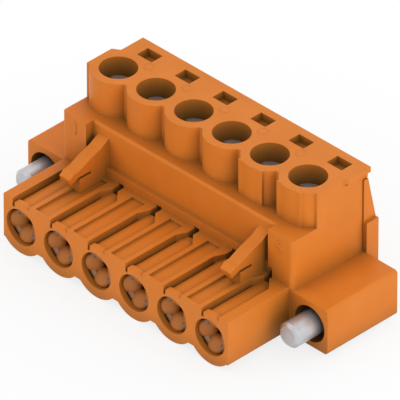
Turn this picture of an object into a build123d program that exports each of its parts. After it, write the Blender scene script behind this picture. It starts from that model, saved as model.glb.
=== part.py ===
from build123d import *
import math
import os

os.makedirs("parts", exist_ok=True)

# A pluggable terminal block: the female plug half, with a screw flange at each end.
# All lengths are in millimetres. X runs along the row of poles, the mating face looks
# towards -Y, and Z is up. The origin is the middle of the underside.

# Row of poles
POLES = 6
PITCH = 5.08                    # spacing of the poles
ROW = POLES * PITCH
PIN_Z = 3.0                     # height of the mating pins' axes above the underside
HEIGHT = 15.1                   # underside to the top of the screw bosses

# Clearances
FIT = 0.05                      # moulded and stamped parts that touch
RUN = 0.08                      # radial, round turning parts
SEAM_GAP = 0.04                 # between the housing and the rear cover
ROOT_LAP = 0.1                  # how far a form reaches into the one that it grows from
PAST = 1                        # how far cuts, and forms that grow from others, run past a face

# Plug block, the part that enters the header
BLOCK_LENGTH = 8.24             # mating face to the front of the end blocks
BLOCK_TOP = 5.86
BLOCK_INSET = 0.18              # each end, inside the row
WEB_Z = 0.93                    # underside of the webs between the round tubes
SOCKET_R = 1.97
LIP_LENGTH = 0.65               # round mouth in front of the contact's tongues
TONGUE_ROOM_W = 3.7             # square room behind it, where the tongues flare
TONGUE_ROOM_LENGTH = 1.25
CHAMBER_W = 2.9                 # square contact chamber behind that
CHAMBER_H = 3.0

# Keying slots over the tubes, and the shallow grooves between them
SLOT_W = 2.3
SLOT_FLOOR_R = 2.4
SLOT_LIP_R = 2.7
SLOT_LIP = 0.6
SLOT_STRAIGHT = 6.7             # behind this the slot narrows towards the opening
GAP_W = 0.3                     # deeper gap along the left wall
GAP_LOW = 4.95
OPENING_LEFT = -0.62            # opening at the rear end, from the pole
OPENING_RIGHT = 0.05
OPENING_LENGTH = 0.8
OPENING_TOP = 6.1
LEDGE_NOTCH = 0.3               # how far the opening reaches into the recess wall
GROOVE_W = 1.7
GROOVE_DEPTH = 0.3
GROOVE_MARGIN = 0.3             # land left in front of the groove

# Body behind the plug block
BODY_OVER = 0.2                 # each end, outside the row
SHELF_Z = 11.16
SHELF_ROUND = 0.3
END_BLOCK = 3.24                # width of each end block
END_ROUND = 0.45                # upright outer edges of the end blocks
LEDGE_WALL = BLOCK_LENGTH + 0.44
RECESS_WALL = BLOCK_LENGTH + 0.96
LEDGE_Z = 6.98
PARTITION = BLOCK_LENGTH + 1.76     # rear face of the wall behind the sockets

# Contact, stamped from one strip of sheet
SHEET = 0.8
STRIP_BACK = 0.6                # thickness of the upright
BAR_Z = 7.1                     # underside of the current bar
BAR_W = 2.6
TONGUE_R = 0.45                 # from the pin's axis to the inner face of each spring tongue
TONGUE_T = 0.4
TONGUE_SLIT = 0.24              # between neighbouring tongues
TONGUE_FRONT = LIP_LENGTH + FIT
FLARE_R = TONGUE_ROOM_W / 2 - FIT   # outer reach of the flared tips
FLARE_LENGTH = 0.8              # from the tips back to where the tongues are straight
FLARE_SLANT = 0.25              # the tip's outer edge, behind its front
FLARE_BACK = TONGUE_ROOM_LENGTH - 2 * FIT   # length of the flare's rear side

# Clamp yoke, lifted by the screw
TRAVEL = 2.2
YOKE_L = 3.4
YOKE_SIDE = 0.5
YOKE_TOP = 1.0
YOKE_BOTTOM = 0.8
YOKE_BEVEL = 0.25
YOKE_PLAY = 0.75                # between the contact's upright and the yoke
YOKE_SPARE = 0.1                # above the yoke at the top of its travel, and in front of it
WIRE_GAP = 2.3                  # opening under the bar with the yoke down
BAR_PLAY = 0.2                  # yoke top plate above the bar

# Clamp screw
SCREW_Y = PARTITION + FIT + STRIP_BACK + YOKE_PLAY + YOKE_L / 2
SCREW_R = 1.25
HEAD_R = 1.65
HEAD_H = 1.3
HEAD_BEVEL = 0.2
DRIVER_SLOT_W = 0.55
DRIVER_SLOT_DEPTH = 0.7
BAR_END = SCREW_Y + 2.1

# Clamp chambers, open at the rear until the cover closes them
CLAMP_W = 4.0
CLAMP_LOW = 1.5
CLAMP_TOP = BAR_Z + SHEET + BAR_PLAY + YOKE_TOP + TRAVEL + YOKE_SPARE
CLAMP_FRONT = SCREW_Y - YOKE_L / 2 - YOKE_SPARE     # lower in front of this, under the shelf
STEP_PLAY = 0.3                 # height of that lower part above the current bar
HEAD_LEDGE = 0.5                # thickness of the ledge under the screw head
HEAD_SEAT = CLAMP_TOP + HEAD_LEDGE
NECK_R = SCREW_R + 0.2

# Tower with one round screw boss for each pole
TOWER_FRONT = SCREW_Y - 1.54
BOSS_R = 2.8
SCREW_HOLE_R = HEAD_R + 0.25
PAD_W = 3.1                     # flat pads on the last two bosses
PAD_FRONT = SCREW_Y - 2.65
PAD_POLES = (POLES - 1, POLES)

# Rear cover, behind the seam
SEAM = SCREW_Y + 4.6
COVER_T = 1.6                   # thickness at the foot
DEPTH = SEAM + COVER_T
FRONT = -DEPTH / 2
COVER_TOP_T = 0.55              # thickness at the top, where it slants
COVER_BREAK_Z = 8.89            # where the slant ends
COVER_SIDE = 0.36               # cover width past the row, above the break
COVER_SIDE_LOW = 0.75           # and below it
COLLAR_LENGTH = 1.2
WIRE_R = 1.45
FUNNEL_R = WIRE_R + 0.5
FUNNEL_LENGTH = 1.0

# Top plate, which reaches over the rear cover and laps over a neighbouring block
CAP_BACK = SEAM + 0.65
CAP_LOW = HEIGHT - 1.35         # underside of the rear overhang
LAP = 0.58                      # thickness of the lap
LAP_OUT = 0.39                  # its reach past the body
LAP_START = SCREW_Y + 2.3
LAP_BEVEL = 0.5
SEAT_DEPTH = 1.2
POCKET_L = 1.97                 # test pockets, along the row
POCKET_W = 1.48
POCKET_DEPTH = 0.9
POCKET_X = 0.62                 # pocket middle, from its pole
POCKET_Y = SCREW_Y + 3.59

# Latch hooks on the plug block
HOOK_OUTER = (POLES - 1) / 2 * PITCH - SLOT_W / 2 - 0.06     # outer side, beside the end slots
HOOK_W = 1.4
HOOK_T = 0.75
HOOK_TIP = 3.97
HOOK_TOP = 8.26                 # top of the beam near its tip
HOOK_RISE = 0.72                # from there to the knee
HOOK_ROOT_TOP = 10.08           # where the beam meets the recess wall
HOOK_ROOT_LENGTH = 1.15         # steeper part in front of that wall
HOOK_ROOT_DROP = 0.7
HOOK_NOSE = 0.53                # length and drop of the nose
HOOK_DIP = 0.08                 # fall of the beam's top from there to the nose
HOOK_BARB = 0.4                 # how far the barb reaches below the beam
HOOK_BARB_SLANT = 0.15          # and how far it lies behind the nose
HOOK_BEND = 5.2                 # where the beam starts to rise
HOOK_RIB_FRONT = 5.3
HOOK_SLIT = 0.3
HOOK_SLIT_END = 6.8

# Flanges and their screws
FLANGE_X = (POLES + 1) / 2 * PITCH
FLANGE_W = 4.7
FLANGE_H = 5.08
FLANGE_Z = 0.5
FLANGE_ROUND = 0.35
FLANGE_BACK = SEAM - SEAM_GAP
BOLT_R = 1.32
BOLT_TIP = 5.3
BOLT_TIP_BEVEL = 0.3
BOLT_THREAD_END = BLOCK_LENGTH + 0.96
BOLT_NECK_R = 1.15              # thinner than the thread, so that the shoulder holds the screw
BOLT_HEAD_R = 1.8
BOLT_HEAD_H = 2.0
BOLT_HEAD_BEVEL = 0.2
FLANGE_HOLE_R = BOLT_HEAD_R + 0.15
SHOULDER_R = BOLT_NECK_R + 0.1
SHOULDER_FRONT = SCREW_Y - 0.4
SHOULDER_BACK = SHOULDER_FRONT + 1.2

BODY_HALF = ROW / 2 + BODY_OVER
pole_x = [(i - (POLES - 1) / 2) * PITCH for i in range(POLES)]


def back(distance):
    """Model Y of a place that lies this far behind the mating face."""
    return FRONT + distance


def block(x, y, z):
    """Box between two X values, two distances behind the mating face and two heights."""
    middle = Pos((x[0] + x[1]) / 2, back((y[0] + y[1]) / 2), (z[0] + z[1]) / 2)
    return middle * Box(x[1] - x[0], y[1] - y[0], z[1] - z[0])


def side_profile(points, x0, x1):
    """Closed outline of (distance behind the mating face, height), run from x0 to x1."""
    outline = Polyline(*[(x0, back(y), z) for y, z in points], close=True)
    return extrude(make_face(outline), amount=x1 - x0, dir=(1, 0, 0))


def plan_profile(points, z0, z1):
    """Closed outline of (x, distance behind the mating face), run from z0 up to z1."""
    outline = Polyline(*[(x, back(y), z0) for x, y in points], close=True)
    return extrude(make_face(outline), amount=z1 - z0, dir=(0, 0, 1))


def rod(x, y0, y1, z, radius):
    """Cylinder along Y between two distances behind the mating face."""
    return Pos(x, back((y0 + y1) / 2), z) * Rot(90, 0, 0) * Cylinder(radius, y1 - y0)


def post(x, y, z0, z1, radius):
    """Upright cylinder between two heights."""
    return Pos(x, back(y), (z0 + z1) / 2) * Cylinder(radius, z1 - z0)


def plug_block():
    """Row of round tubes joined by webs, flat on top, that enters the header."""
    half = ROW / 2 - BLOCK_INSET
    # The block runs on into the body behind it, so that the two are one moulding.
    end = PARTITION
    solid = block((-half, half), (0, end), (WEB_Z, BLOCK_TOP))
    for x in pole_x:
        solid += rod(x, 0, end, PIN_Z, PIN_Z)
    return solid & block((-half, half), (0, end), (0, BLOCK_TOP))


def body():
    """Upright behind the plug block, with a recessed front wall between two end blocks."""
    solid = block((-BODY_HALF, BODY_HALF), (BLOCK_LENGTH, FLANGE_BACK), (0, SHELF_Z))
    corners = solid.edges().filter_by(Axis.Z).group_by(Axis.Y)[0]
    solid = fillet(corners, END_ROUND)
    inner = BODY_HALF - END_BLOCK
    recess = [
        (BLOCK_LENGTH - PAST, BLOCK_TOP),
        (LEDGE_WALL, BLOCK_TOP),
        (LEDGE_WALL, LEDGE_Z),
        (RECESS_WALL, LEDGE_Z),
        (RECESS_WALL, SHELF_Z + PAST),
        (BLOCK_LENGTH - PAST, SHELF_Z + PAST),
    ]
    solid -= side_profile(recess, -inner, inner)
    shelf = solid.edges().filter_by(Axis.X).group_by(Axis.Z)[-1]
    brow = [edge for edge in shelf if abs(edge.center().Y - back(RECESS_WALL)) < FIT]
    return fillet(brow, SHELF_ROUND)


def tower():
    """Screw bosses in front of a straight wall, under the top plate."""
    solid = block((-BODY_HALF, BODY_HALF), (TOWER_FRONT, FLANGE_BACK), (SHELF_Z, HEIGHT))
    for x in pole_x:
        solid += post(x, SCREW_Y, SHELF_Z, HEIGHT, BOSS_R)
    # The end bosses are flush with the sides of the body.
    solid &= block((-BODY_HALF, BODY_HALF), (0, FLANGE_BACK), (SHELF_Z, HEIGHT))
    for number in PAD_POLES:
        x = pole_x[number - 1]
        solid += block((x - PAD_W / 2, x + PAD_W / 2), (PAD_FRONT, TOWER_FRONT), (SHELF_Z, HEIGHT))
    return solid


def add_top_plate(solid):
    """Rear overhang, with a lap that reaches out on the right and a seat for one on the left."""
    reach = BODY_HALF + LAP_OUT
    solid += block((-BODY_HALF, BODY_HALF), (SEAM - PAST, CAP_BACK), (CAP_LOW, HEIGHT))
    lap = [
        (BODY_HALF - PAST, LAP_START - LAP_BEVEL),
        (BODY_HALF, LAP_START - LAP_BEVEL),
        (reach, LAP_START),
        (reach, CAP_BACK),
        (BODY_HALF - PAST, CAP_BACK),
    ]
    solid += plan_profile(lap, HEIGHT - LAP, HEIGHT)
    spread = reach - BODY_HALF
    under = Polyline(
        (BODY_HALF - ROOT_LAP, back(LAP_START), HEIGHT - LAP),
        (reach, back(LAP_START), HEIGHT - LAP),
        (BODY_HALF, back(LAP_START), HEIGHT - LAP - spread),
        (BODY_HALF - ROOT_LAP, back(LAP_START), HEIGHT - LAP - spread),
        close=True,
    )
    solid += extrude(make_face(under), amount=CAP_BACK - LAP_START, dir=(0, 1, 0))
    # The seat lies one row to the left of the lap's edge.
    seat = [
        (-BODY_HALF - PAST, LAP_START - LAP_BEVEL),
        (-BODY_HALF, LAP_START - LAP_BEVEL),
        (reach - ROW, LAP_START),
        (reach - ROW, CAP_BACK + PAST),
        (-BODY_HALF - PAST, CAP_BACK + PAST),
    ]
    return solid - plan_profile(seat, HEIGHT - SEAT_DEPTH, HEIGHT + PAST)


def cut_top(solid):
    """Screwdriver holes and test pockets."""
    for x in pole_x:
        solid -= post(x, SCREW_Y, HEAD_SEAT, HEIGHT + PAST, SCREW_HOLE_R)
        solid -= post(x, SCREW_Y, CLAMP_TOP - PAST, HEAD_SEAT + PAST, NECK_R)
        middle = x + POCKET_X
        pocket_x = (middle - POCKET_L / 2, middle + POCKET_L / 2)
        pocket_y = (POCKET_Y - POCKET_W / 2, POCKET_Y + POCKET_W / 2)
        solid -= block(pocket_x, pocket_y, (HEIGHT - POCKET_DEPTH, HEIGHT + PAST))
    return solid


def cut_clamp_chambers(solid):
    """One chamber for each pole, from the partition to the open rear."""
    for x in pole_x:
        wide = (x - CLAMP_W / 2, x + CLAMP_W / 2)
        solid -= block(wide, (PARTITION, SEAM + PAST), (CLAMP_LOW, BAR_Z + SHEET + STEP_PLAY))
        solid -= block(wide, (CLAMP_FRONT, SEAM + PAST), (CLAMP_LOW, CLAMP_TOP))
    return solid


def cut_sockets(solid):
    """Round mouth, tongue room and chamber of each contact, through to the clamp chamber."""
    for x in pole_x:
        solid -= rod(x, -PAST, LIP_LENGTH, PIN_Z, SOCKET_R)
        wide = (x - CHAMBER_W / 2, x + CHAMBER_W / 2)
        high = (PIN_Z - CHAMBER_H / 2, PIN_Z + CHAMBER_H / 2)
        solid -= block(wide, (LIP_LENGTH, PARTITION + ROOT_LAP), high)
        room = (LIP_LENGTH, LIP_LENGTH + TONGUE_ROOM_LENGTH)
        room_wide = (x - TONGUE_ROOM_W / 2, x + TONGUE_ROOM_W / 2)
        room_high = (PIN_Z - TONGUE_ROOM_W / 2, PIN_Z + TONGUE_ROOM_W / 2)
        solid -= block(room_wide, room, room_high)
    return solid


def keying_slot(x):
    """Slot over one tube: round floor, deeper along the left wall, open at its rear end."""
    left = x - SLOT_W / 2
    right = x + SLOT_W / 2
    opening = (x + OPENING_LEFT, x + OPENING_RIGHT)
    opening_front = LEDGE_WALL - OPENING_LENGTH
    plan = [
        (left, -PAST),
        (left, SLOT_STRAIGHT),
        (opening[0], opening_front),
        (opening[0], LEDGE_WALL),
        (opening[1], LEDGE_WALL),
        (opening[1], opening_front),
        (right, SLOT_STRAIGHT),
        (right, -PAST),
    ]
    slot = plan_profile(plan, PIN_Z, BLOCK_TOP + PAST)
    slot -= rod(x, -2 * PAST, LEDGE_WALL + PAST, PIN_Z, SLOT_FLOOR_R)
    slot -= rod(x, -2 * PAST, SLOT_LIP, PIN_Z, SLOT_LIP_R)
    slot += block((left, left + GAP_W), (-PAST, SLOT_STRAIGHT), (GAP_LOW, BLOCK_TOP + PAST))
    # The opening drops into the contact chamber and cuts a notch in the ledge wall.
    slot += block(opening, (opening_front, LEDGE_WALL), (PIN_Z, BLOCK_TOP + PAST))
    return slot + block(opening, (opening_front, RECESS_WALL + LEDGE_NOTCH), (PIN_Z, OPENING_TOP))


def cut_keying(solid):
    """Keying slots over the tubes, and shallow grooves between them."""
    for x in pole_x:
        solid -= keying_slot(x)
    for x in pole_x[:-1]:
        middle = x + PITCH / 2
        wide = (middle - GROOVE_W / 2, middle + GROOVE_W / 2)
        long = (GROOVE_MARGIN, BLOCK_LENGTH)
        solid -= block(wide, long, (BLOCK_TOP - GROOVE_DEPTH, BLOCK_TOP + PAST))
    return solid


def latch_hook(side):
    """Sprung hook that rises from the block to the recess wall, over a short rib."""
    root = RECESS_WALL + ROOT_LAP
    under = HOOK_TOP - HOOK_T
    outline = [
        (root, HOOK_ROOT_TOP),
        (RECESS_WALL, HOOK_ROOT_TOP),
        (RECESS_WALL - HOOK_ROOT_LENGTH, HOOK_ROOT_TOP - HOOK_ROOT_DROP),
        (HOOK_SLIT_END, HOOK_TOP + HOOK_RISE),
        (HOOK_BEND, HOOK_TOP),
        (HOOK_TIP + HOOK_NOSE, HOOK_TOP - HOOK_DIP),
        (HOOK_TIP, HOOK_TOP - HOOK_NOSE),
        (HOOK_TIP + HOOK_BARB_SLANT, under - HOOK_BARB),
        (HOOK_BEND, under),
        (HOOK_SLIT_END, under),
        (HOOK_SLIT_END, under - HOOK_SLIT),
        (HOOK_RIB_FRONT, under - HOOK_SLIT),
        (HOOK_RIB_FRONT, BLOCK_TOP - PAST),
        (root, BLOCK_TOP - PAST),
    ]
    outer = side * HOOK_OUTER
    inner = side * (HOOK_OUTER - HOOK_W)
    return side_profile(outline, min(outer, inner), max(outer, inner))


def flange(side):
    """Ear at one end of the body that carries a captive screw."""
    inner = side * (BODY_HALF - END_ROUND - ROOT_LAP)
    outer = side * (FLANGE_X + FLANGE_W / 2)
    wide = (min(inner, outer), max(inner, outer))
    ear = block(wide, (BLOCK_LENGTH, FLANGE_BACK), (FLANGE_Z, FLANGE_Z + FLANGE_H))
    long_edges = ear.edges().filter_by(Axis.Y).group_by(Axis.X)
    return fillet(long_edges[-1] if side > 0 else long_edges[0], FLANGE_ROUND)


def cut_flange(solid, side):
    """Stepped bore of the flange screw, with the shoulder that its head pulls on."""
    x = side * FLANGE_X
    solid -= rod(x, BLOCK_LENGTH - PAST, SHOULDER_FRONT, PIN_Z, FLANGE_HOLE_R)
    solid -= rod(x, SHOULDER_FRONT - PAST, SHOULDER_BACK + PAST, PIN_Z, SHOULDER_R)
    return solid - rod(x, SHOULDER_BACK, FLANGE_BACK + PAST, PIN_Z, FLANGE_HOLE_R)


def housing():
    solid = plug_block() + body() + tower()
    solid = add_top_plate(solid)
    for side in (-1, 1):
        solid += flange(side)
    solid = cut_keying(solid)
    for side in (-1, 1):
        solid += latch_hook(side)
        solid = cut_flange(solid, side)
    solid = cut_clamp_chambers(solid)
    solid = cut_sockets(solid)
    return cut_top(solid)


def rear_cover():
    """Slab that closes the clamp chambers, with a funnel and a collar for each wire."""
    wire_z = BAR_Z - WIRE_GAP / 2
    upper = ROW / 2 + COVER_SIDE
    lower = ROW / 2 + COVER_SIDE_LOW
    shape = [
        (SEAM, 0),
        (DEPTH, 0),
        (DEPTH, COVER_BREAK_Z),
        (SEAM + COVER_TOP_T, CAP_LOW - SEAM_GAP),
        (SEAM, CAP_LOW - SEAM_GAP),
    ]
    solid = side_profile(shape, -upper, upper)
    foot = [(SEAM, 0), (DEPTH, 0), (DEPTH, COVER_BREAK_Z), (SEAM, COVER_BREAK_Z)]
    solid += side_profile(foot, -lower, lower)
    for x in pole_x:
        wide = (x - CLAMP_W / 2 + FIT, x + CLAMP_W / 2 - FIT)
        high = (CLAMP_LOW + FIT, CLAMP_TOP - FIT)
        solid += block(wide, (SEAM - COLLAR_LENGTH, SEAM + ROOT_LAP), high)
        solid -= rod(x, SEAM - COLLAR_LENGTH - PAST, DEPTH + PAST, wire_z, WIRE_R)
        funnel = Rot(90, 0, 0) * Cone(FUNNEL_R, WIRE_R, FUNNEL_LENGTH)
        solid -= Pos(x, back(DEPTH - FUNNEL_LENGTH / 2), wire_z) * funnel
    return solid


def spring_tongues(root):
    """Four tongues round a pin axis along Y, flared in front, with their roots at this Y."""
    tip = back(TONGUE_FRONT)
    outer = TONGUE_R + TONGUE_T
    middle = (TONGUE_R + FLARE_R) / 2
    outline = [
        (TONGUE_R, root),
        (TONGUE_R, tip + FLARE_LENGTH),
        ((TONGUE_R + middle) / 2, tip + FLARE_SLANT),
        (middle + TONGUE_T / 2, tip),
        (FLARE_R, tip + FLARE_SLANT),
        (FLARE_R, tip + 2 * FLARE_SLANT),
        (outer, tip + FLARE_BACK),
        (outer, root),
    ]
    strip = extrude(make_face(Polyline(*outline, close=True)), amount=FLARE_R, both=True)
    # Each tongue keeps to its own quarter, and slits of even width stay on the diagonals.
    apex = TONGUE_SLIT / math.sqrt(2)
    quarter = Polyline((apex, tip, 0), (apex + ROW, tip, -ROW), (apex + ROW, tip, ROW), close=True)
    tongue = strip & extrude(make_face(quarter), amount=root - tip, dir=(0, 1, 0))
    return Part() + [Rot(0, angle, 0) * tongue for angle in (0, 90, 180, 270)]


def contact(x):
    """Current bar, upright and four spring tongues, bent from one strip."""
    half_bar = BAR_W / 2
    upright_front = PARTITION + FIT
    upright_back = upright_front + STRIP_BACK
    upright_half = CLAMP_W / 2 - FIT
    solid = block((x - half_bar, x + half_bar), (upright_front, BAR_END), (BAR_Z, BAR_Z + SHEET))
    solid += block(
        (x - upright_half, x + upright_half),
        (upright_front, upright_back),
        (CLAMP_LOW + FIT, BAR_Z + SHEET),
    )
    return solid + Pos(x, 0, PIN_Z) * spring_tongues(back(upright_front + ROOT_LAP))


def yoke(x):
    """Cage round the current bar; its top plate is threaded on the clamp screw."""
    half = CLAMP_W / 2 - 2 * FIT
    low = BAR_Z - WIRE_GAP - YOKE_BOTTOM
    plate = BAR_Z + SHEET + BAR_PLAY
    long = (SCREW_Y - YOKE_L / 2, SCREW_Y + YOKE_L / 2)
    solid = block((x - half, x + half), long, (low, plate + YOKE_TOP))
    solid = chamfer(solid.edges().filter_by(Axis.Y), YOKE_BEVEL)
    window = (x - half + YOKE_SIDE, x + half - YOKE_SIDE)
    solid -= block(window, (SCREW_Y - YOKE_L, SCREW_Y + YOKE_L), (low + YOKE_BOTTOM, plate))
    return solid - post(x, SCREW_Y, plate - BAR_PLAY, plate + YOKE_TOP + PAST, SCREW_R + RUN)


def clamp_screw(x):
    """Slotted screw that stands on the current bar, its head on the ledge above."""
    tip = BAR_Z + SHEET + FIT
    seat = HEAD_SEAT + FIT
    shaft = post(x, SCREW_Y, tip, seat + ROOT_LAP, SCREW_R)
    head = post(x, SCREW_Y, seat, seat + HEAD_H, HEAD_R)
    head = chamfer(head.edges().filter_by(GeomType.CIRCLE).sort_by(Axis.Z)[-1], HEAD_BEVEL)
    slot = Box(2 * HEAD_R + PAST, DRIVER_SLOT_W, 2 * DRIVER_SLOT_DEPTH)
    return shaft + head - Pos(x, back(SCREW_Y), seat + HEAD_H) * slot


def flange_screw(side):
    """Captive screw: thread in front, thin neck in the shoulder, slotted head behind it."""
    x = side * FLANGE_X
    seat = SHOULDER_BACK + FIT
    thread = rod(x, BOLT_TIP, BOLT_THREAD_END, PIN_Z, BOLT_R)
    thread = chamfer(thread.edges().filter_by(GeomType.CIRCLE).sort_by(Axis.Y)[0], BOLT_TIP_BEVEL)
    neck = rod(x, BOLT_THREAD_END - ROOT_LAP, seat + ROOT_LAP, PIN_Z, BOLT_NECK_R)
    head = rod(x, seat, seat + BOLT_HEAD_H, PIN_Z, BOLT_HEAD_R)
    head = chamfer(head.edges().filter_by(GeomType.CIRCLE).sort_by(Axis.Y)[-1], BOLT_HEAD_BEVEL)
    slot = Box(2 * BOLT_HEAD_R + PAST, 2 * DRIVER_SLOT_DEPTH, DRIVER_SLOT_W)
    return thread + neck + head - Pos(x, back(seat + BOLT_HEAD_H), PIN_Z) * slot


def write(shape, name):
    export_step(shape, f"parts/{name}.step")


write(housing(), "housing")
write(rear_cover(), "rear_cover")
for number, x in enumerate(pole_x, start=1):
    write(contact(x), f"contact_{number}")
    write(yoke(x), f"clamp_yoke_{number}")
    write(clamp_screw(x), f"clamp_screw_{number}")
write(flange_screw(-1), "flange_screw_left")
write(flange_screw(1), "flange_screw_right")
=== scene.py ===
# %% [markdown]
# # A pluggable terminal block in moulded orange plastic
# The object is the plug half of a board connector: six round sockets in front, six screw
# clamps that are reached from above, two sprung latch hooks, and a screw in a flange at each
# end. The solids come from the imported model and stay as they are. This lesson sets the camera
# and the light, gives every solid a procedural material, and adds the finest mould detail.

import math

import bmesh
import bpy
import numpy as np
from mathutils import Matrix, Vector


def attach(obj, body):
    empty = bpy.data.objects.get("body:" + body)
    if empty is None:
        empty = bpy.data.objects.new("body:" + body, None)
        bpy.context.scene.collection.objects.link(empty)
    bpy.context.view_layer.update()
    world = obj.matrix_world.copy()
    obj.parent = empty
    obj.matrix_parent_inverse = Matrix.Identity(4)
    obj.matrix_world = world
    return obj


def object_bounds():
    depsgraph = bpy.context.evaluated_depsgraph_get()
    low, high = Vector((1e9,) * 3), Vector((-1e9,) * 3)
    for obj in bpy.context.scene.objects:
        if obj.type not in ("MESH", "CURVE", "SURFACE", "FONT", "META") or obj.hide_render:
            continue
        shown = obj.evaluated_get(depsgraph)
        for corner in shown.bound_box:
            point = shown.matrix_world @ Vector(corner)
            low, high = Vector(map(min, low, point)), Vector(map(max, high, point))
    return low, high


MM = 0.001


def size_in_mm(low, high):
    """Lengths of the sides of a box, in millimetres."""
    return [round((b - a) / MM, 2) for a, b in zip(low, high)]


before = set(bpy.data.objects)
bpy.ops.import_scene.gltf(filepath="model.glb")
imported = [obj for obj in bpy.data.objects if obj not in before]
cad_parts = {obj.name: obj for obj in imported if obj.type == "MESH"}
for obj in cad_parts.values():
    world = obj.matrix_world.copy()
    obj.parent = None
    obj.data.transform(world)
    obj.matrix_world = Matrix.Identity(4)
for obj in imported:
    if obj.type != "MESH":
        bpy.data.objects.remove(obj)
cad_low, cad_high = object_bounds()
print("size in mm:", size_in_mm(cad_low, cad_high))

# %% [markdown]
# ## The object's own measures
# Everything in Blender is in metres and in the model's frame: X runs along the row of poles,
# the mating face looks towards -Y, and Z is up. A few lengths of the moulding are needed again
# for the camera and for the small marks. They could be read off the meshes, but named once
# here they are easier to follow.

# %% Measures
POLES = 6
PITCH = 5.08 * MM
PIN_HEIGHT = 3.0 * MM
BLOCK_LENGTH = 8.24 * MM
MATING_FACE = cad_low.y
END_BLOCK_FACE = MATING_FACE + BLOCK_LENGTH
TOP = cad_high.z
pole_x = (np.arange(POLES) - (POLES - 1) / 2) * PITCH
print("poles at", [round(x / MM, 2) for x in pole_x], "mm")

# %% [markdown]
# ## The camera
# The photograph is a parallel projection: lines along the row keep one direction and one
# length wherever they lie. An orthographic camera would give just that. A very long lens a
# long way off comes within a pixel of it, and is easier to carry round the object for other
# views. It looks from the right front, 45 degrees round and 35 degrees up.

# %% Camera
VIEW_AZIMUTH = math.radians(45.0)
VIEW_ELEVATION = math.radians(35.1)
PICTURE_WIDTH = 38.18 * MM
LENS = 1300.0
SENSOR = 36.0
NEAREST = 0.01
FARTHEST = 10.0
# The point of the object that lies in the middle of the picture.
picture_centre = Vector((-3.88 * MM, MATING_FACE + 15.27 * MM, PIN_HEIGHT))


def direction(azimuth, elevation):
    """Unit vector towards a place that is this far round from the front and this far up."""
    level = math.cos(elevation)
    return Vector((math.sin(azimuth) * level, -math.cos(azimuth) * level, math.sin(elevation)))


scene = bpy.context.scene
camera_data = bpy.data.cameras.new("camera")
camera_data.sensor_width = SENSOR
camera_data.lens = LENS
camera_data.clip_start = NEAREST
camera_data.clip_end = FARTHEST
camera = bpy.data.objects.new("camera", camera_data)
to_camera = direction(VIEW_AZIMUTH, VIEW_ELEVATION)
camera.location = picture_centre + to_camera * (PICTURE_WIDTH * LENS / SENSOR)
camera.rotation_mode = "QUATERNION"
camera.rotation_quaternion = (-to_camera).to_track_quat("-Z", "Y")
scene.collection.objects.link(camera)
scene.camera = camera
print("camera is", round((camera.location - picture_centre).length, 3), "m away")

# %% [markdown]
# ## Node helpers
# Materials could be clicked together in the shader editor, but nodes made in code can be read
# and changed like a recipe. One helper starts an empty tree, one adds a node with its
# settings, and one joins two sockets. The last finds the rays that look straight at a thing:
# from the camera, from a reflection, or through glass.

# %% Node helpers
scene.view_settings.view_transform = "Standard"


def new_tree(owner):
    """Switch an owner's nodes on and clear them."""
    owner.use_nodes = True
    owner.node_tree.nodes.clear()
    return owner.node_tree


def add_node(tree, kind, **settings):
    """New node; a setting is one of the node's properties, or else the label of an input."""
    node = tree.nodes.new(kind)
    for key, value in settings.items():
        if hasattr(node, key):
            setattr(node, key, value)
        else:
            node.inputs[key.replace("_", " ")].default_value = value
    return node


def join(tree, node, output, other, entry):
    """Link a named or numbered output of one node to an input of another."""
    tree.links.new(node.outputs[output], other.inputs[entry])


def looking_rays(tree):
    """Math node that is 1 for rays that look straight at a thing, and 0 for those that light."""
    path = add_node(tree, "ShaderNodeLightPath")
    mirrored = add_node(tree, "ShaderNodeMath", operation="MAXIMUM")
    through = add_node(tree, "ShaderNodeMath", operation="MAXIMUM")
    join(tree, path, "Is Camera Ray", mirrored, 0)
    join(tree, path, "Is Glossy Ray", mirrored, 1)
    join(tree, mirrored, "Value", through, 0)
    join(tree, path, "Is Transmission Ray", through, 1)
    return through


print("view transform:", scene.view_settings.view_transform)

# %% [markdown]
# ## World
# The photograph was lit evenly from all round, so every open face of the plastic has nearly
# the same colour and only hollows go darker. Many lamps or a picture of a studio could do it,
# but a plain white world gives just that. The camera, and the reflections in metal, see it a
# little brighter, as pure white.

# %% World
WHITE = (1, 1, 1, 1)
WORLD_LIGHT = 0.78
world = bpy.data.worlds.new("light_tent")
scene.world = world
tree = new_tree(world)
tent = add_node(tree, "ShaderNodeBackground", Color=WHITE, Strength=WORLD_LIGHT)
backdrop = add_node(tree, "ShaderNodeBackground", Color=WHITE, Strength=1.0)
seen = looking_rays(tree)
blend = add_node(tree, "ShaderNodeMixShader")
out = add_node(tree, "ShaderNodeOutputWorld")
join(tree, seen, "Value", blend, "Fac")
join(tree, tent, "Background", blend, 1)
join(tree, backdrop, "Background", blend, 2)
join(tree, blend, "Shader", out, "Surface")
print("world light:", WORLD_LIGHT)

# %% [markdown]
# ## Floor
# The plug stands on a pale table. A real table would end in a horizon line. Here the floor is
# matt near the object, where it takes the soft shadow, and further out it turns to plain white
# for the camera, so that it meets the white background without an edge.

# %% Floor plate
FLOOR_HALF = 500 * MM
FLOOR_GAP = 0.02 * MM
corner_signs = [(-1, -1), (1, -1), (1, 1), (-1, 1)]
floor_z = cad_low.z - FLOOR_GAP
floor_mesh = bpy.data.meshes.new("floor")
floor_mesh.from_pydata(
    [(x * FLOOR_HALF, y * FLOOR_HALF, floor_z) for x, y in corner_signs], [], [(0, 1, 2, 3)]
)
floor = bpy.data.objects.new("floor", floor_mesh)
scene.collection.objects.link(floor)
print("floor reaches", FLOOR_HALF, "m")

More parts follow.
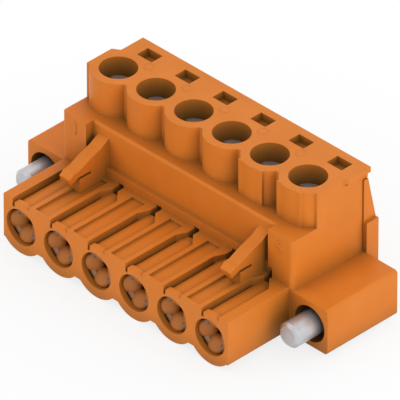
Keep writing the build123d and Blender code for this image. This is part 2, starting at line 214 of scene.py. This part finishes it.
# %% Floor material
FLOOR_COLOUR = (0.95, 0.95, 0.95, 1)
NEAR_WHITE = 0.8
FADE_FROM = 18 * MM
FADE_TO = 40 * MM
floor_material = bpy.data.materials.new("pale_table")
tree = new_tree(floor_material)
place = add_node(tree, "ShaderNodeTexCoord")
reach = add_node(tree, "ShaderNodeVectorMath", operation="LENGTH")
fade = add_node(
    tree, "ShaderNodeMapRange", From_Min=FADE_FROM, From_Max=FADE_TO, To_Min=NEAR_WHITE
)
seen = looking_rays(tree)
share = add_node(tree, "ShaderNodeMath", operation="MULTIPLY")
matt = add_node(tree, "ShaderNodeBsdfDiffuse", Color=FLOOR_COLOUR)
white = add_node(tree, "ShaderNodeEmission", Color=WHITE, Strength=1.0)
blend = add_node(tree, "ShaderNodeMixShader")
out = add_node(tree, "ShaderNodeOutputMaterial")
join(tree, place, "Object", reach, 0)
join(tree, reach, "Value", fade, "Value")
join(tree, fade, "Result", share, 0)
join(tree, seen, "Value", share, 1)
join(tree, share, "Value", blend, "Fac")
join(tree, matt, "BSDF", blend, 1)
join(tree, white, "Emission", blend, 2)
join(tree, blend, "Shader", out, "Surface")
floor_mesh.materials.append(floor_material)
print("floor fades to white from", FADE_FROM, "to", FADE_TO, "m")

# %% [markdown]
# ## Lamps
# The world alone would leave the object flat. Three large, weak lamps shape it: one from the
# right front, one from the left front, and one from behind for the views of the wire side.
# Small lamps would throw hard shadows; these are so large beside the object that theirs are
# too soft to see.

# %% Lamps
LAMP_SIZE = 200 * MM
LAMP_REACH = 250 * MM
# Degrees round from the front, degrees up, and watts.
LAMPS = {"key": (85, 28, 0.17), "fill": (-30, 35, 0.04), "rear": (200, 35, 0.06)}
middle = (cad_low + cad_high) / 2
for name, (azimuth, elevation, power) in LAMPS.items():
    away = direction(math.radians(azimuth), math.radians(elevation))
    lamp_data = bpy.data.lights.new(name, "AREA")
    lamp_data.size = LAMP_SIZE
    lamp_data.energy = power
    lamp = bpy.data.objects.new(name, lamp_data)
    lamp.location = middle + away * LAMP_REACH
    lamp.rotation_mode = "QUATERNION"
    lamp.rotation_quaternion = away.to_track_quat("Z", "Y")
    scene.collection.objects.link(lamp)
print("lamps:", ", ".join(LAMPS))

# %% [markdown]
# ## Shared effect: grain
# A moulded or plated surface is never one flat colour. The tone drifts slowly over a few
# millimetres, and a fine grain from the mould or the plating bath breaks up the gloss. A
# picture could be laid over it, but noise in the model's own space needs no unwrapping and has
# no seams. One node group makes both, and each material sets how large and strong they are.

# %% Group helper
def new_group(name, inputs, outputs):
    """Node group with named sockets, with its input and output nodes.

    Both dictionaries give each socket's kind, and an input may have a value after it.
    """
    group = bpy.data.node_groups.new(name, "ShaderNodeTree")
    for way, sockets in (("INPUT", inputs), ("OUTPUT", outputs)):
        for label, (kind, *value) in sockets.items():
            socket = group.interface.new_socket(
                name=label, in_out=way, socket_type="NodeSocket" + kind
            )
            if value:
                socket.default_value = value[0]
    return group, add_node(group, "NodeGroupInput"), add_node(group, "NodeGroupOutput")


# A Mix node has sockets for every kind of data. These numbers are its colour sockets.
MIX_FACTOR, MIX_FIRST, MIX_SECOND, MIX_RESULT = 0, 6, 7, 2
print("colour sockets of a Mix node:", MIX_FIRST, MIX_SECOND)

# %% Grain group
# The share of the fine pits in the tone, and the ranges of noise that tone and gloss use.
PIT_SHARE = 0.25
TONE_FROM, TONE_TO = 0.4, 0.85
GLOSS_FROM, GLOSS_TO = 0.3, 0.7
grain, entry, result = new_group(
    "surface_grain",
    {
        "Drift Scale": ("Float", 250.0), "Grain Scale": ("Float", 6000.0),
        "Dark": ("Color",), "Light": ("Color",),
        "Roughness Low": ("Float", 0.35), "Roughness High": ("Float", 0.5),
    },
    {"Color": ("Color",), "Roughness": ("Float",), "Height": ("Float",)},
)
place = add_node(grain, "ShaderNodeTexCoord")
drift = add_node(grain, "ShaderNodeTexNoise", Detail=2.0, Roughness=0.5)
pits = add_node(grain, "ShaderNodeTexNoise", Detail=3.0, Roughness=0.6)
both = add_node(grain, "ShaderNodeMath", operation="MULTIPLY_ADD")
both.inputs[1].default_value = PIT_SHARE
steps = add_node(grain, "ShaderNodeMapRange", From_Min=TONE_FROM, From_Max=TONE_TO)
colour = add_node(grain, "ShaderNodeMix", data_type="RGBA")
gloss = add_node(grain, "ShaderNodeMapRange", From_Min=GLOSS_FROM, From_Max=GLOSS_TO)
join(grain, place, "Object", drift, "Vector")
join(grain, place, "Object", pits, "Vector")
join(grain, entry, "Drift Scale", drift, "Scale")
join(grain, entry, "Grain Scale", pits, "Scale")
join(grain, pits, 0, both, 0)
join(grain, drift, 0, both, 2)
join(grain, both, "Value", steps, "Value")
join(grain, steps, "Result", colour, MIX_FACTOR)
join(grain, entry, "Dark", colour, MIX_FIRST)
join(grain, entry, "Light", colour, MIX_SECOND)
join(grain, pits, 0, gloss, "Value")
join(grain, entry, "Roughness Low", gloss, "To Min")
join(grain, entry, "Roughness High", gloss, "To Max")
join(grain, colour, MIX_RESULT, result, "Color")
join(grain, gloss, "Result", result, "Roughness")
join(grain, pits, 0, result, "Height")
print("group:", grain.name, "with", len(grain.nodes), "nodes")

# %% [markdown]
# ## Shared effect: rounded edges
# No moulded or stamped edge is sharp. A Bevel modifier would round the mesh itself, but the
# solids stay as they are. The Bevel node gives the normal that a slightly rounded edge would
# have, which catches the light. Where that normal leaves the true one there is an edge: a mask
# that later paints the edges a little paler, as a painted highlight.

# %% Edge group
# The two normals' likeness, 1 for the same, at which an edge begins and is full.
EDGE_BEGINS, EDGE_FULL = 0.99, 0.8
edge, entry, result = new_group(
    "soft_edge",
    {"Radius": ("Float", 0.1 * MM)},
    {"Normal": ("Vector",), "Mask": ("Float",)},
)
rounded = add_node(edge, "ShaderNodeBevel", samples=8)
true_normal = add_node(edge, "ShaderNodeNewGeometry")
likeness = add_node(edge, "ShaderNodeVectorMath", operation="DOT_PRODUCT")
mask = add_node(edge, "ShaderNodeMapRange", From_Min=EDGE_BEGINS, From_Max=EDGE_FULL)
join(edge, entry, "Radius", rounded, "Radius")
join(edge, rounded, "Normal", likeness, 0)
join(edge, true_normal, "Normal", likeness, 1)
join(edge, likeness, "Value", mask, "Value")
join(edge, rounded, "Normal", result, "Normal")
join(edge, mask, "Result", result, "Mask")
print("group:", edge.name, "with", len(edge.nodes), "nodes")

# %% [markdown]
# ## Shared effect: painted recess shade
# Slots, holes and inner corners of a moulding look darker and duller than its open faces. Part
# of that comes from the light by itself. The rest is painted shade here. It could be painted by
# hand, but the Ambient Occlusion node measures how closed in a point is, whatever the light and
# the camera. The group turns that into a mask: 1 on open faces, 0 deep in a slot, where the
# painted hollow colour comes in.

# %% Painted recess shade group
recess, entry, result = new_group(
    "painted_recess_shading",
    {"Reach": ("Float", 4.0 * MM), "Closed": ("Float", 0.15), "Open": ("Float", 0.85)},
    {"Mask": ("Float",)},
)
occlusion = add_node(recess, "ShaderNodeAmbientOcclusion", samples=12)
span = add_node(recess, "ShaderNodeMapRange")
join(recess, entry, "Reach", occlusion, "Distance")
join(recess, occlusion, "AO", span, "Value")
join(recess, entry, "Closed", span, "From Min")
join(recess, entry, "Open", span, "From Max")
join(recess, span, "Result", result, "Mask")
print("group:", recess.name, "with", len(recess.nodes), "nodes")

# %% [markdown]
# ## Material recipe
# Plastic and metal differ here in their numbers and not in their nodes, so one recipe makes
# them all. The three groups feed one Principled shader: grain gives the tone and the gloss,
# the edge mask paints edges paler as a painted highlight, and the recess mask brings in the
# painted shading of the hollows. The shader's own sockets carry the numbers that are the same
# everywhere, such as how metallic it is.

# %% Material recipe
GRAIN_DEPTH = 0.01 * MM


def finish_material(
    name, dark, light, painted_edge_highlight, painted_hollow_shading, scales, roughness, bump, edge_radius,
    closed=0.15, open_face=0.85, **shader,
):
    """Material from the three groups. The pairs are (drift, grain) scales and (low, high)."""
    material = bpy.data.materials.new(name)
    tree = new_tree(material)
    surface = add_node(
        tree, "ShaderNodeGroup", node_tree=grain, Drift_Scale=scales[0], Grain_Scale=scales[1],
        Dark=(*dark, 1), Light=(*light, 1), Roughness_Low=roughness[0], Roughness_High=roughness[1],
    )
    rim = add_node(tree, "ShaderNodeGroup", node_tree=edge, Radius=edge_radius)
    shade = add_node(tree, "ShaderNodeGroup", node_tree=recess, Closed=closed, Open=open_face)
    # Painted highlight: where the edge mask rises, the colour is mixed towards the paler edge
    # colour.
    painted_highlight_mix = add_node(tree, "ShaderNodeMix", data_type="RGBA")
    painted_highlight_mix.inputs[MIX_SECOND].default_value = (*painted_edge_highlight, 1)
    # Painted shading: where the recess mask falls, the colour is mixed towards the painted hollow
    # colour.
    painted_shading_mix = add_node(tree, "ShaderNodeMix", data_type="RGBA")
    painted_shading_mix.inputs[MIX_FIRST].default_value = (*painted_hollow_shading, 1)
    relief = add_node(tree, "ShaderNodeBump", Strength=bump, Distance=GRAIN_DEPTH)
    principled = add_node(tree, "ShaderNodeBsdfPrincipled", **shader)
    out = add_node(tree, "ShaderNodeOutputMaterial")
    join(tree, surface, "Color", painted_highlight_mix, MIX_FIRST)
    join(tree, rim, "Mask", painted_highlight_mix, MIX_FACTOR)
    join(tree, shade, "Mask", painted_shading_mix, MIX_FACTOR)
    join(tree, painted_highlight_mix, MIX_RESULT, painted_shading_mix, MIX_SECOND)
    join(tree, painted_shading_mix, MIX_RESULT, principled, "Base Color")
    join(tree, surface, "Roughness", principled, "Roughness")
    join(tree, surface, "Height", relief, "Height")
    join(tree, rim, "Normal", relief, "Normal")
    join(tree, relief, "Normal", principled, "Normal")
    join(tree, principled, "BSDF", out, "Surface")
    return material


print("effects in each material:", grain.name, edge.name, recess.name)

# %% [markdown]
# ## Orange plastic
# The body is a tough nylon, coloured through and moulded against a fine satin steel face. It
# could be a smooth plastic with a clear highlight, but the photograph shows almost none, so
# the shader's specular level is low and the gloss is broken by grain. In its hollows the
# orange is painted brown rather than black: painted shade from the hollow colour. Its edges
# are painted paler, a painted highlight.

# %% Orange plastic
moulding = finish_material(
    "orange_moulding",
    dark=(0.70, 0.196, 0.018), light=(0.75, 0.218, 0.024), painted_edge_highlight=(0.80, 0.25, 0.04),
    painted_hollow_shading=(0.225, 0.105, 0.019),
    scales=(260.0, 7000.0), roughness=(0.42, 0.55), bump=0.35, edge_radius=0.09 * MM,
    Specular_IOR_Level=0.2,
)
print("material:", moulding.name)

# %% [markdown]
# ## Zinc-plated steel
# Clamp screws, flange screws and yokes are steel under a thin coat of zinc: pale grey and dull.
# A full metal shows only what it reflects, and deep in the orange holes that would be orange.
# With Metallic a little under 1 the screws keep some of their own grey there, as they do in
# the photograph.

# %% Zinc-plated steel
# In each zinc the hollow colour is painted shading in its holes, and the edge colour a painted
# highlight.
screw_zinc = finish_material(
    "screw_zinc",
    dark=(0.46, 0.47, 0.49), light=(0.56, 0.57, 0.59), painted_edge_highlight=(0.64, 0.65, 0.67),
    painted_hollow_shading=(0.46, 0.49, 0.54),
    scales=(900.0, 12000.0), roughness=(0.32, 0.46), bump=0.3, edge_radius=0.05 * MM,
    Metallic=0.85,
)
flange_zinc = finish_material(
    "flange_screw_zinc",
    dark=(0.50, 0.505, 0.52), light=(0.60, 0.605, 0.62), painted_edge_highlight=(0.68, 0.685, 0.70),
    painted_hollow_shading=(0.24, 0.25, 0.27),
    scales=(700.0, 9000.0), roughness=(0.34, 0.48), bump=0.3, edge_radius=0.08 * MM,
    Metallic=0.7,
)
yoke_zinc = finish_material(
    "yoke_zinc",
    dark=(0.42, 0.43, 0.44), light=(0.56, 0.57, 0.58), painted_edge_highlight=(0.68, 0.68, 0.68),
    painted_hollow_shading=(0.36, 0.365, 0.375),
    scales=(800.0, 9000.0), roughness=(0.35, 0.5), bump=0.35, edge_radius=0.06 * MM,
    Metallic=0.6,
)
print("zinc:", screw_zinc.name, flange_zinc.name, yoke_zinc.name)

# %% [markdown]
# ## Contact metal
# The contacts are bronze strip with a thin coat of tin. Bright tin would shine out of the
# sockets. In the photograph they look brown, because they sit in narrow orange chambers, and
# at the tips, where the pins rub, the bronze shows. So the strip is painted a dull brown, which
# is painted shade and painted orange reflection of its chambers, and the tips a warmer tone. The
# strip lies in a chamber all over, so its painted shading mask runs from a higher start to past
# the open end.

# %% Contact metal
tin_strip = finish_material(
    "tinned_strip",
    dark=(0.26, 0.13, 0.078), light=(0.33, 0.172, 0.11), painted_edge_highlight=(0.35, 0.19, 0.12),
    painted_hollow_shading=(0.26, 0.125, 0.065),
    scales=(600.0, 8000.0), roughness=(0.38, 0.55), bump=0.25, edge_radius=0.05 * MM,
    closed=0.35, open_face=1.1, Metallic=0.6,
)
# The tips' hollow colour is painted shade, and their edge colour a painted highlight.
bronze_tip = finish_material(
    "worn_bronze_tip",
    dark=(0.42, 0.137, 0.021), light=(0.48, 0.158, 0.026), painted_edge_highlight=(0.51, 0.172, 0.031),
    painted_hollow_shading=(0.38, 0.135, 0.02),
    scales=(900.0, 9000.0), roughness=(0.45, 0.6), bump=0.2, edge_radius=0.05 * MM,
    Metallic=0.35,
)
print("contact metals:", tin_strip.name, bronze_tip.name)

# %% [markdown]
# ## Dressing the solids
# Both mouldings take the plastic, and every metal piece takes its own finish. The solids come
# with plain materials. Setting each one by hand would work too, but the names of the solids
# already say what they are, so the start of the name picks the finish.

# %% Dress the solids
FINISHES = {
    "housing": moulding,
    "rear_cover": moulding,
    "contact": tin_strip,
    "clamp_yoke": yoke_zinc,
    "clamp_screw": screw_zinc,
    "flange_screw": flange_zinc,
}
for name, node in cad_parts.items():
    finish = next(FINISHES[start] for start in FINISHES if name.startswith(start))
    node.data.materials.clear()
    node.data.materials.append(finish)
print("dressed", len(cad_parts), "solids")

# %% [markdown]
# ## Contact tips
# Behind each round mouth four spring tongues wait for the pin. Their tips are curled back into
# smooth knuckles, so that the pin slides in without catching. The solids have flat flares in
# these places. A knuckle could be a box with a Subdivision modifier. Here it is a
# superellipsoid, because its powers say directly how far a ball goes towards a box, and all
# four come out of one formula.

# %% Finished piece
MERGE_WITHIN = 0.0005 * MM


def add_piece(name, points, faces, material):
    """Object that rides on the housing: doubles merged, faces outward and smooth."""
    mesh = bpy.data.meshes.new(name)
    mesh.from_pydata(points.tolist(), [], faces.tolist())
    work = bmesh.new()
    work.from_mesh(mesh)
    bmesh.ops.remove_doubles(work, verts=work.verts, dist=MERGE_WITHIN)
    bmesh.ops.dissolve_degenerate(work, edges=work.edges, dist=MERGE_WITHIN)
    bmesh.ops.recalc_face_normals(work, faces=work.faces)
    work.to_mesh(mesh)
    work.free()
    mesh.shade_smooth()
    mesh.materials.append(material)
    piece = bpy.data.objects.new(name, mesh)
    scene.collection.objects.link(piece)
    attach(piece, "housing")
    return piece


print("pieces ride on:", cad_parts["housing"].name)

# %% Knuckle surface
KNUCKLE_R = 1.2 * MM
KNUCKLE_DEPTH = 1.04 * MM
# Half its length outward, its width sideways and its thickness along the pin.
KNUCKLE_HALF = np.array((0.98, 1.12, 0.48)) * MM
KNUCKLE_LEAN = math.radians(38)
SQUARENESS = 0.95


def signed_power(value, power):
    """Power of the size of a value, with the value's own sign."""
    return np.sign(value) * np.abs(value) ** power


def knuckle_grid(turn, rows=13, columns=28):
    """Points (row, column, xyz) of a knuckle beside an axis along Y, at this turn round it.

    With latitude p from -90 to 90 degrees and longitude q all round, the point is
    a cos(p)^k cos(q)^k outward, b cos(p)^k sin(q)^k sideways and c sin(p)^k along Y, from a
    centre that lies KNUCKLE_R out from the axis. k under 1 makes the ball squarer. The knuckle
    then leans about its own sideways line, so that the four of them form a funnel.
    """
    p = np.linspace(-np.pi / 2, np.pi / 2, rows)[:, None]
    q = np.arange(columns)[None, :] * 2 * np.pi / columns
    girth = np.maximum(np.cos(p), 0) ** SQUARENESS
    length = KNUCKLE_HALF[0] * girth * signed_power(np.cos(q), SQUARENESS)
    sideways = KNUCKLE_HALF[1] * girth * signed_power(np.sin(q), SQUARENESS)
    height = KNUCKLE_HALF[2] * signed_power(np.sin(p), SQUARENESS)
    outward = KNUCKLE_R + length * np.cos(KNUCKLE_LEAN) + height * np.sin(KNUCKLE_LEAN)
    along = height * np.cos(KNUCKLE_LEAN) - length * np.sin(KNUCKLE_LEAN)
    x = outward * np.cos(turn) - sideways * np.sin(turn)
    z = outward * np.sin(turn) + sideways * np.cos(turn)
    return np.stack([x, along, z], -1)


def grid_faces(rows, columns, first=0):
    """Quads of a grid that is closed across its columns; first is the number of its first point."""
    i, j = np.meshgrid(np.arange(rows - 1), np.arange(columns), indexing="ij")
    k = (j + 1) % columns
    quads = [i * columns + j, i * columns + k, (i + 1) * columns + k, (i + 1) * columns + j]
    return np.stack(quads, -1).reshape(-1, 4) + first


knuckle = knuckle_grid(0.0)
print("a knuckle:", knuckle.shape[0], "by", knuckle.shape[1], "points")

# %% Contact tips
TONGUES = 4
tips = []
for pole, x in enumerate(pole_x, start=1):
    centre = np.array((x, MATING_FACE + KNUCKLE_DEPTH, PIN_HEIGHT))
    grids = [centre + knuckle_grid(turn) for turn in np.arange(TONGUES) * 2 * np.pi / TONGUES]
    rows, columns, _ = grids[0].shape
    faces = [grid_faces(rows, columns, n * rows * columns) for n in range(TONGUES)]
    tips.append(add_piece(
        f"contact_tips_{pole}", np.concatenate(grids).reshape(-1, 3), np.concatenate(faces),
        bronze_tip,
    ))
print("contact tips:", len(tips), "with", len(tips[0].data.polygons), "faces each")

# %% [markdown]
# ## Contact collars
# A smooth collar joins the four knuckles at their roots and shows between them. It could be a
# torus, which Blender has ready made. Here it is a bead: an oval carried along a path, in this
# case a circle. The same function later makes the raised marks, so the path may also be open,
# and then the oval shrinks to a point at both ends.

# %% Circle
ALONG = np.array((1.0, 0.0, 0.0))
BACKWARD = np.array((0.0, 1.0, 0.0))
UPWARD = np.array((0.0, 0.0, 1.0))


def circle(centre, radius, second, count):
    """Points centre + radius (cos a ALONG + sin a second), for a from 0 to a full turn."""
    a = np.arange(count)[:, None] * 2 * np.pi / count
    return np.array(centre) + radius * (np.cos(a) * ALONG + np.sin(a) * second)


print("circles start along", ALONG)

# %% Bead along a path
BEAD_SIDES = 12


def add_bead(name, paths, out, half_width, height, closed, material):
    """Bead of oval section along each path, as one piece. out is square to every path.

    At each point of a path the section is point + cos(a) * half_width * across
    + sin(a) * height * out, for a from 0 to a full turn. On an open path both sizes are
    multiplied by the root of 1 - s^8, with s from -1 to 1 along it, so the ends close.
    """
    angle = np.arange(BEAD_SIDES) * 2 * np.pi / BEAD_SIDES
    points, faces, start = [], [], 0
    for path in paths:
        count = len(path)
        step = np.roll(path, -1, 0) - np.roll(path, 1, 0) if closed else np.gradient(path, axis=0)
        step /= np.linalg.norm(step, axis=1)[:, None]
        across = np.cross(step, out)
        s = np.linspace(-1, 1, count)
        swell = np.ones(count) if closed else np.sqrt(np.clip(1 - s ** 8, 0, 1))
        ring = (
            path[:, None]
            + (half_width * swell)[:, None, None] * np.cos(angle)[None, :, None] * across[:, None]
            + (height * swell)[:, None, None] * np.sin(angle)[None, :, None] * out
        )
        rows = np.arange(count if closed else count - 1)
        i, j = np.meshgrid(rows, np.arange(BEAD_SIDES), indexing="ij")
        next_i, next_j = (i + 1) % count, (j + 1) % BEAD_SIDES
        corner_pairs = [(i, j), (i, next_j), (next_i, next_j), (next_i, j)]
        quads = np.stack([a * BEAD_SIDES + b for a, b in corner_pairs], -1)
        points.append(ring.reshape(-1, 3))
        faces.append(quads.reshape(-1, 4) + start)
        start += count * BEAD_SIDES
    return add_piece(name, np.concatenate(points), np.concatenate(faces), material)


print("beads have", BEAD_SIDES, "points round their section")

# %% Contact collars
COLLAR_R = 1.55 * MM
COLLAR_DEPTH = 0.92 * MM
COLLAR_HALF_WIDTH = 0.42 * MM
COLLAR_HALF_HEIGHT = 0.34 * MM
COLLAR_STEPS = 64
circles = [
    circle((x, MATING_FACE + COLLAR_DEPTH, PIN_HEIGHT), COLLAR_R, UPWARD, COLLAR_STEPS)
    for x in pole_x
]
collars = add_bead(
    "contact_collars", circles, -BACKWARD, COLLAR_HALF_WIDTH, COLLAR_HALF_HEIGHT, closed=True,
    material=tin_strip,
)
print("collars:", len(circles), "with", len(collars.data.polygons), "faces")

# %% [markdown]
# ## Pole numbers
# The first and the last pole carry a raised number, cut into the mould with a round tool. A
# Text object would have flat tops and sharp walls. A bead along each stroke, half of it sunk
# in the face, has the round top that such a cut leaves.

# %% Figures
def line(a, b, count):
    """Points on the straight line a + t (b - a), t from 0 to 1."""
    t = np.linspace(0, 1, count)[:, None]
    return np.array(a) + t * (np.array(b) - np.array(a))


def arc(centre, radius, first, last, count):
    """Points centre + radius (cos a, sin a), with a in degrees from first to last."""
    a = np.radians(np.linspace(first, last, count))
    return np.array(centre) + radius * np.stack([np.cos(a), np.sin(a)], 1)


# A 1 is an upright stem with a short flag from its top.
stem_top = (0.05, 0.5)
one_stem = line((0.05, -0.5), stem_top, 16)
one_flag = line(stem_top, (-0.2, 0.26), 10)
# A 6 is a long curved tail that runs down into a round bowl.
bowl_radius = 0.24
bowl_centre = (0.0, -0.26)
tail_radius = 0.74
tail_centre = (tail_radius - bowl_radius, bowl_centre[1])
six = np.concatenate([
    arc(tail_centre, tail_radius, 112, 180, 16)[:-1],
    arc(bowl_centre, bowl_radius, 180, 530, 28),
])
print("points along the 6:", len(six))

# %% Pole numbers
NUMBER_X = 13.7 * MM
NUMBER_Z = 10.0 * MM
FIGURE = 1.5 * MM
STROKE = 0.13 * MM
RELIEF = 0.1 * MM


def on_end_block(flat, centre_x):
    """Points (x, z) in units of the figure's height, put on the front of an end block."""
    x = centre_x + flat[:, 0] * FIGURE
    z = NUMBER_Z + flat[:, 1] * FIGURE
    return np.stack([x, np.full(len(flat), END_BLOCK_FACE), z], 1)


number_faces = 0
for pole, strokes, side in ((1, (one_stem, one_flag), -1), (6, (six,), 1)):
    number = add_bead(
        f"pole_number_{pole}", [on_end_block(stroke, side * NUMBER_X) for stroke in strokes],
        -BACKWARD, STROKE, RELIEF, closed=False, material=moulding,
    )
    number_faces += len(number.data.polygons)
print("raised numbers:", number_faces, "faces")

# %% [markdown]
# ## Ejector rings
# Round pins push the warm moulding out of its mould, and each leaves a faint ring, here beside
# the test pockets. A bump in the material could show them, but it would be missing from the
# mesh. A very flat bead is real geometry and stands only a hundredth of a millimetre proud.

# %% Ejector rings
RING_X = 1.95 * MM
RING_Y = 15.3 * MM
RING_R = 0.5 * MM
RING_HALF_WIDTH = 0.05 * MM
RING_RELIEF = 0.01 * MM
RING_STEPS = 48
rings = [
    circle((x + RING_X, MATING_FACE + RING_Y, TOP), RING_R, BACKWARD, RING_STEPS)
    for x in pole_x[:-1]
]
ejector_rings = add_bead(
    "ejector_rings", rings, UPWARD, RING_HALF_WIDTH, RING_RELIEF, closed=True,
    material=moulding,
)
print("ejector rings:", len(rings), "with", len(ejector_rings.data.polygons), "faces")
